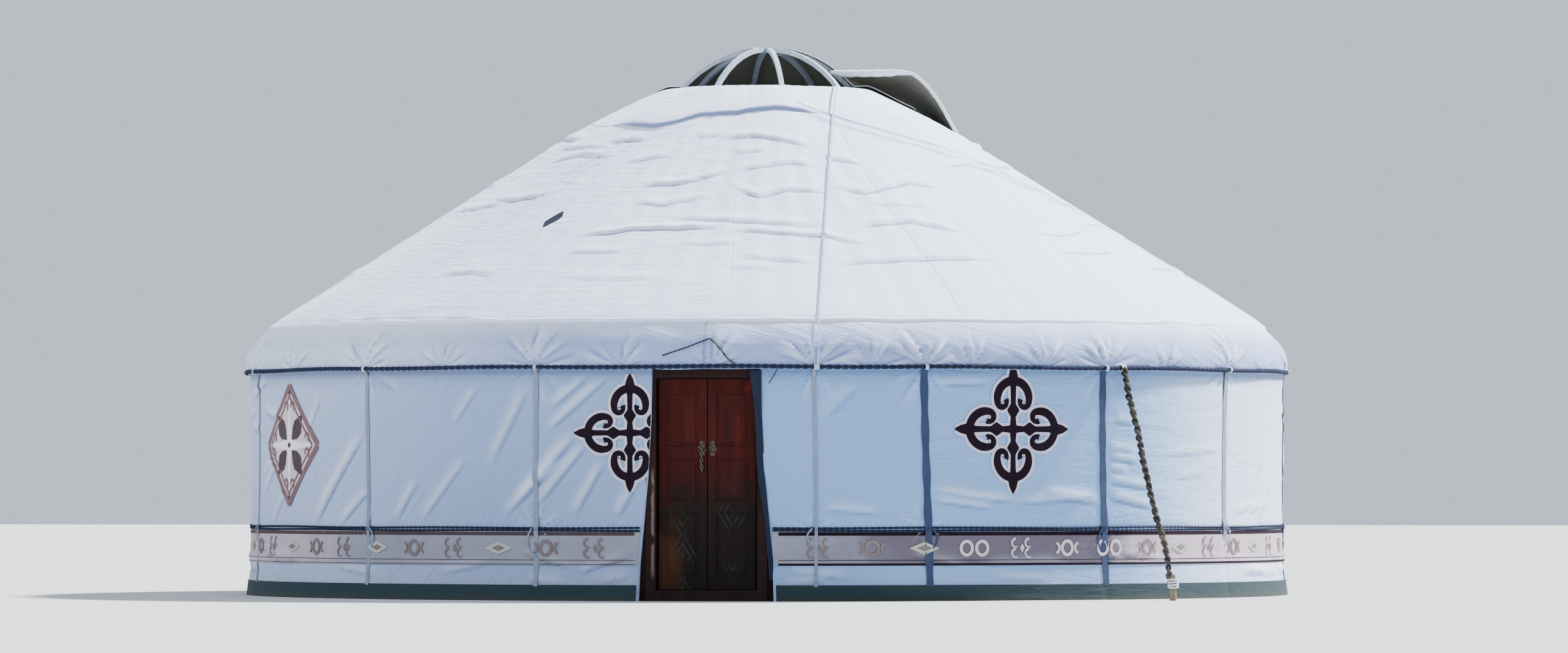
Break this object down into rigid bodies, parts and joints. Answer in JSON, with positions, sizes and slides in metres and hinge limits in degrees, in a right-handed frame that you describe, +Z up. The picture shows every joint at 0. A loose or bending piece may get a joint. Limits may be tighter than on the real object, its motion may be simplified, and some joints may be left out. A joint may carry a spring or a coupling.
{
  "type": "yurt",
  "caption": "Round canvas yurt with a lattice wall, bent roof poles, an open crown under a drawn-back cover, and a double door whose leaves swing inward",
  "frame": {"origin": "centre of the yurt's round plan, on the ground", "axes": "+Z up, the door faces -Y, +X to the right of someone who looks at the door"},
  "size_m": [7.2492, 7.2492, 3.8117],
  "materials": {
    "wall_canvas": "washed canvas over felt",
    "roof_canvas": "washed canvas over felt",
    "crown_canvas": "canvas with a dark lining",
    "lattice_wood": "willow slats, rubbed with red ochre",
    "pole_wood": "willow poles, rubbed with red ochre",
    "crown_wood": "bent wood under worn pale paint",
    "door_paint": "worn maroon paint on boards",
    "frame_wood": "worn painted timber",
    "door_iron": "worn black iron",
    "skirt_canvas": "dark heavy canvas",
    "peg_wood": "weathered stake",
    "rope": "twisted horsehair cord",
    "tie": "woven tape"
  },
  "bodies": {
    "yurt": {"base_skirt": "skirt_canvas", "crown_bars": "crown_wood", "crown_cover": "crown_canvas", "crown_ring": "crown_wood", "door_jamb_left": "frame_wood", "door_jamb_right": "frame_wood", "door_lintel": "frame_wood", "door_threshold": "frame_wood", "eave_rope": "rope", "girth_rope": "rope", "guy_peg": "peg_wood", "guy_rope": "rope", "lattice_wall_back": "lattice_wood", "lattice_wall_back_left": "lattice_wood", "lattice_wall_back_right": "lattice_wood", "lattice_wall_front_left": "lattice_wood", "lattice_wall_front_right": "lattice_wood", "lattice_wall_left": "lattice_wood", "lattice_wall_right": "lattice_wood", "roof_cover_back": "roof_canvas", "roof_cover_back_left": "roof_canvas", "roof_cover_back_right": "roof_canvas", "roof_cover_front": "roof_canvas", "roof_cover_front_left": "roof_canvas", "roof_cover_front_right": "roof_canvas", "roof_cover_left": "roof_canvas", "roof_cover_right": "roof_canvas", "roof_poles_back": "pole_wood", "roof_poles_back_left": "pole_wood", "roof_poles_back_right": "pole_wood", "roof_poles_front": "pole_wood", "roof_poles_front_left": "pole_wood", "roof_poles_front_right": "pole_wood", "roof_poles_left": "pole_wood", "roof_poles_right": "pole_wood", "roof_ties": "tie", "wall_cover_back": "wall_canvas", "wall_cover_back_left": "wall_canvas", "wall_cover_back_right": "wall_canvas", "wall_cover_front_left": "wall_canvas", "wall_cover_front_right": "wall_canvas", "wall_cover_left": "wall_canvas", "wall_cover_right": "wall_canvas", "wall_ties": "tie"},
    "left_leaf": {"door_leaf_left": "door_paint", "door_pull_left": "door_iron"},
    "right_leaf": {"door_leaf_right": "door_paint", "door_pull_right": "door_iron"}
  },
  "joints": [
    {"name": "left_leaf_swing", "type": "hinge", "parent": "yurt", "child": "left_leaf", "pos_m": [-0.311, -3.473, 0.81], "axis": [0, 0, 1], "range_deg": [0, 95]},
    {"name": "right_leaf_swing", "type": "hinge", "parent": "yurt", "child": "right_leaf", "pos_m": [0.311, -3.473, 0.81], "axis": [0, 0, -1], "range_deg": [0, 95]}
  ]
}
